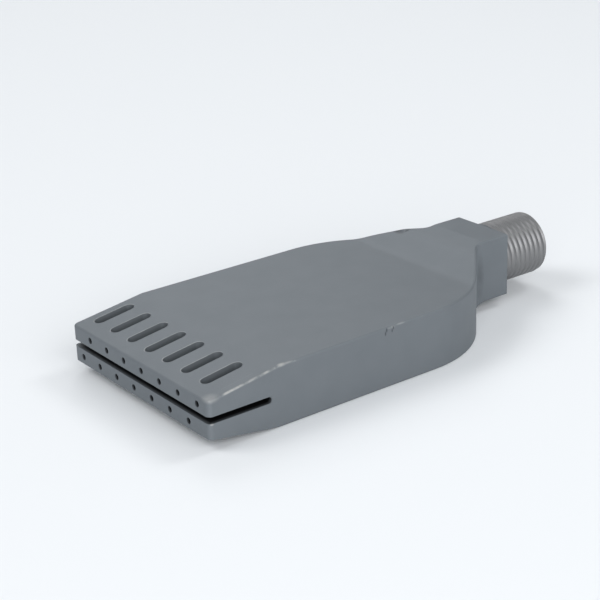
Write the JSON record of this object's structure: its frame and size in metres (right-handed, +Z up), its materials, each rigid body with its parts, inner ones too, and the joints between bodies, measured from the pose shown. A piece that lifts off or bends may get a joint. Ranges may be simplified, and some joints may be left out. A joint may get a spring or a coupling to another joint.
{
  "type": "air nozzle",
  "caption": "Flat blow-off nozzle in one piece of blasted stainless steel, with slotted lips, a slit mouth, wrench flats and a male pipe thread.",
  "frame": {"origin": "centre of the box that holds the nozzle, on the surface it lies on", "axes": "+Y from the lips back along the nozzle to the thread, +X across the lips, +Z up from the flat underside"},
  "size_m": [0.0464, 0.0982, 0.0154],
  "materials": {
    "blasted_steel": "blasted matt grey, with machined thread"
  },
  "bodies": {
    "root": {"nozzle_body": "blasted_steel"}
  },
  "joints": []
}
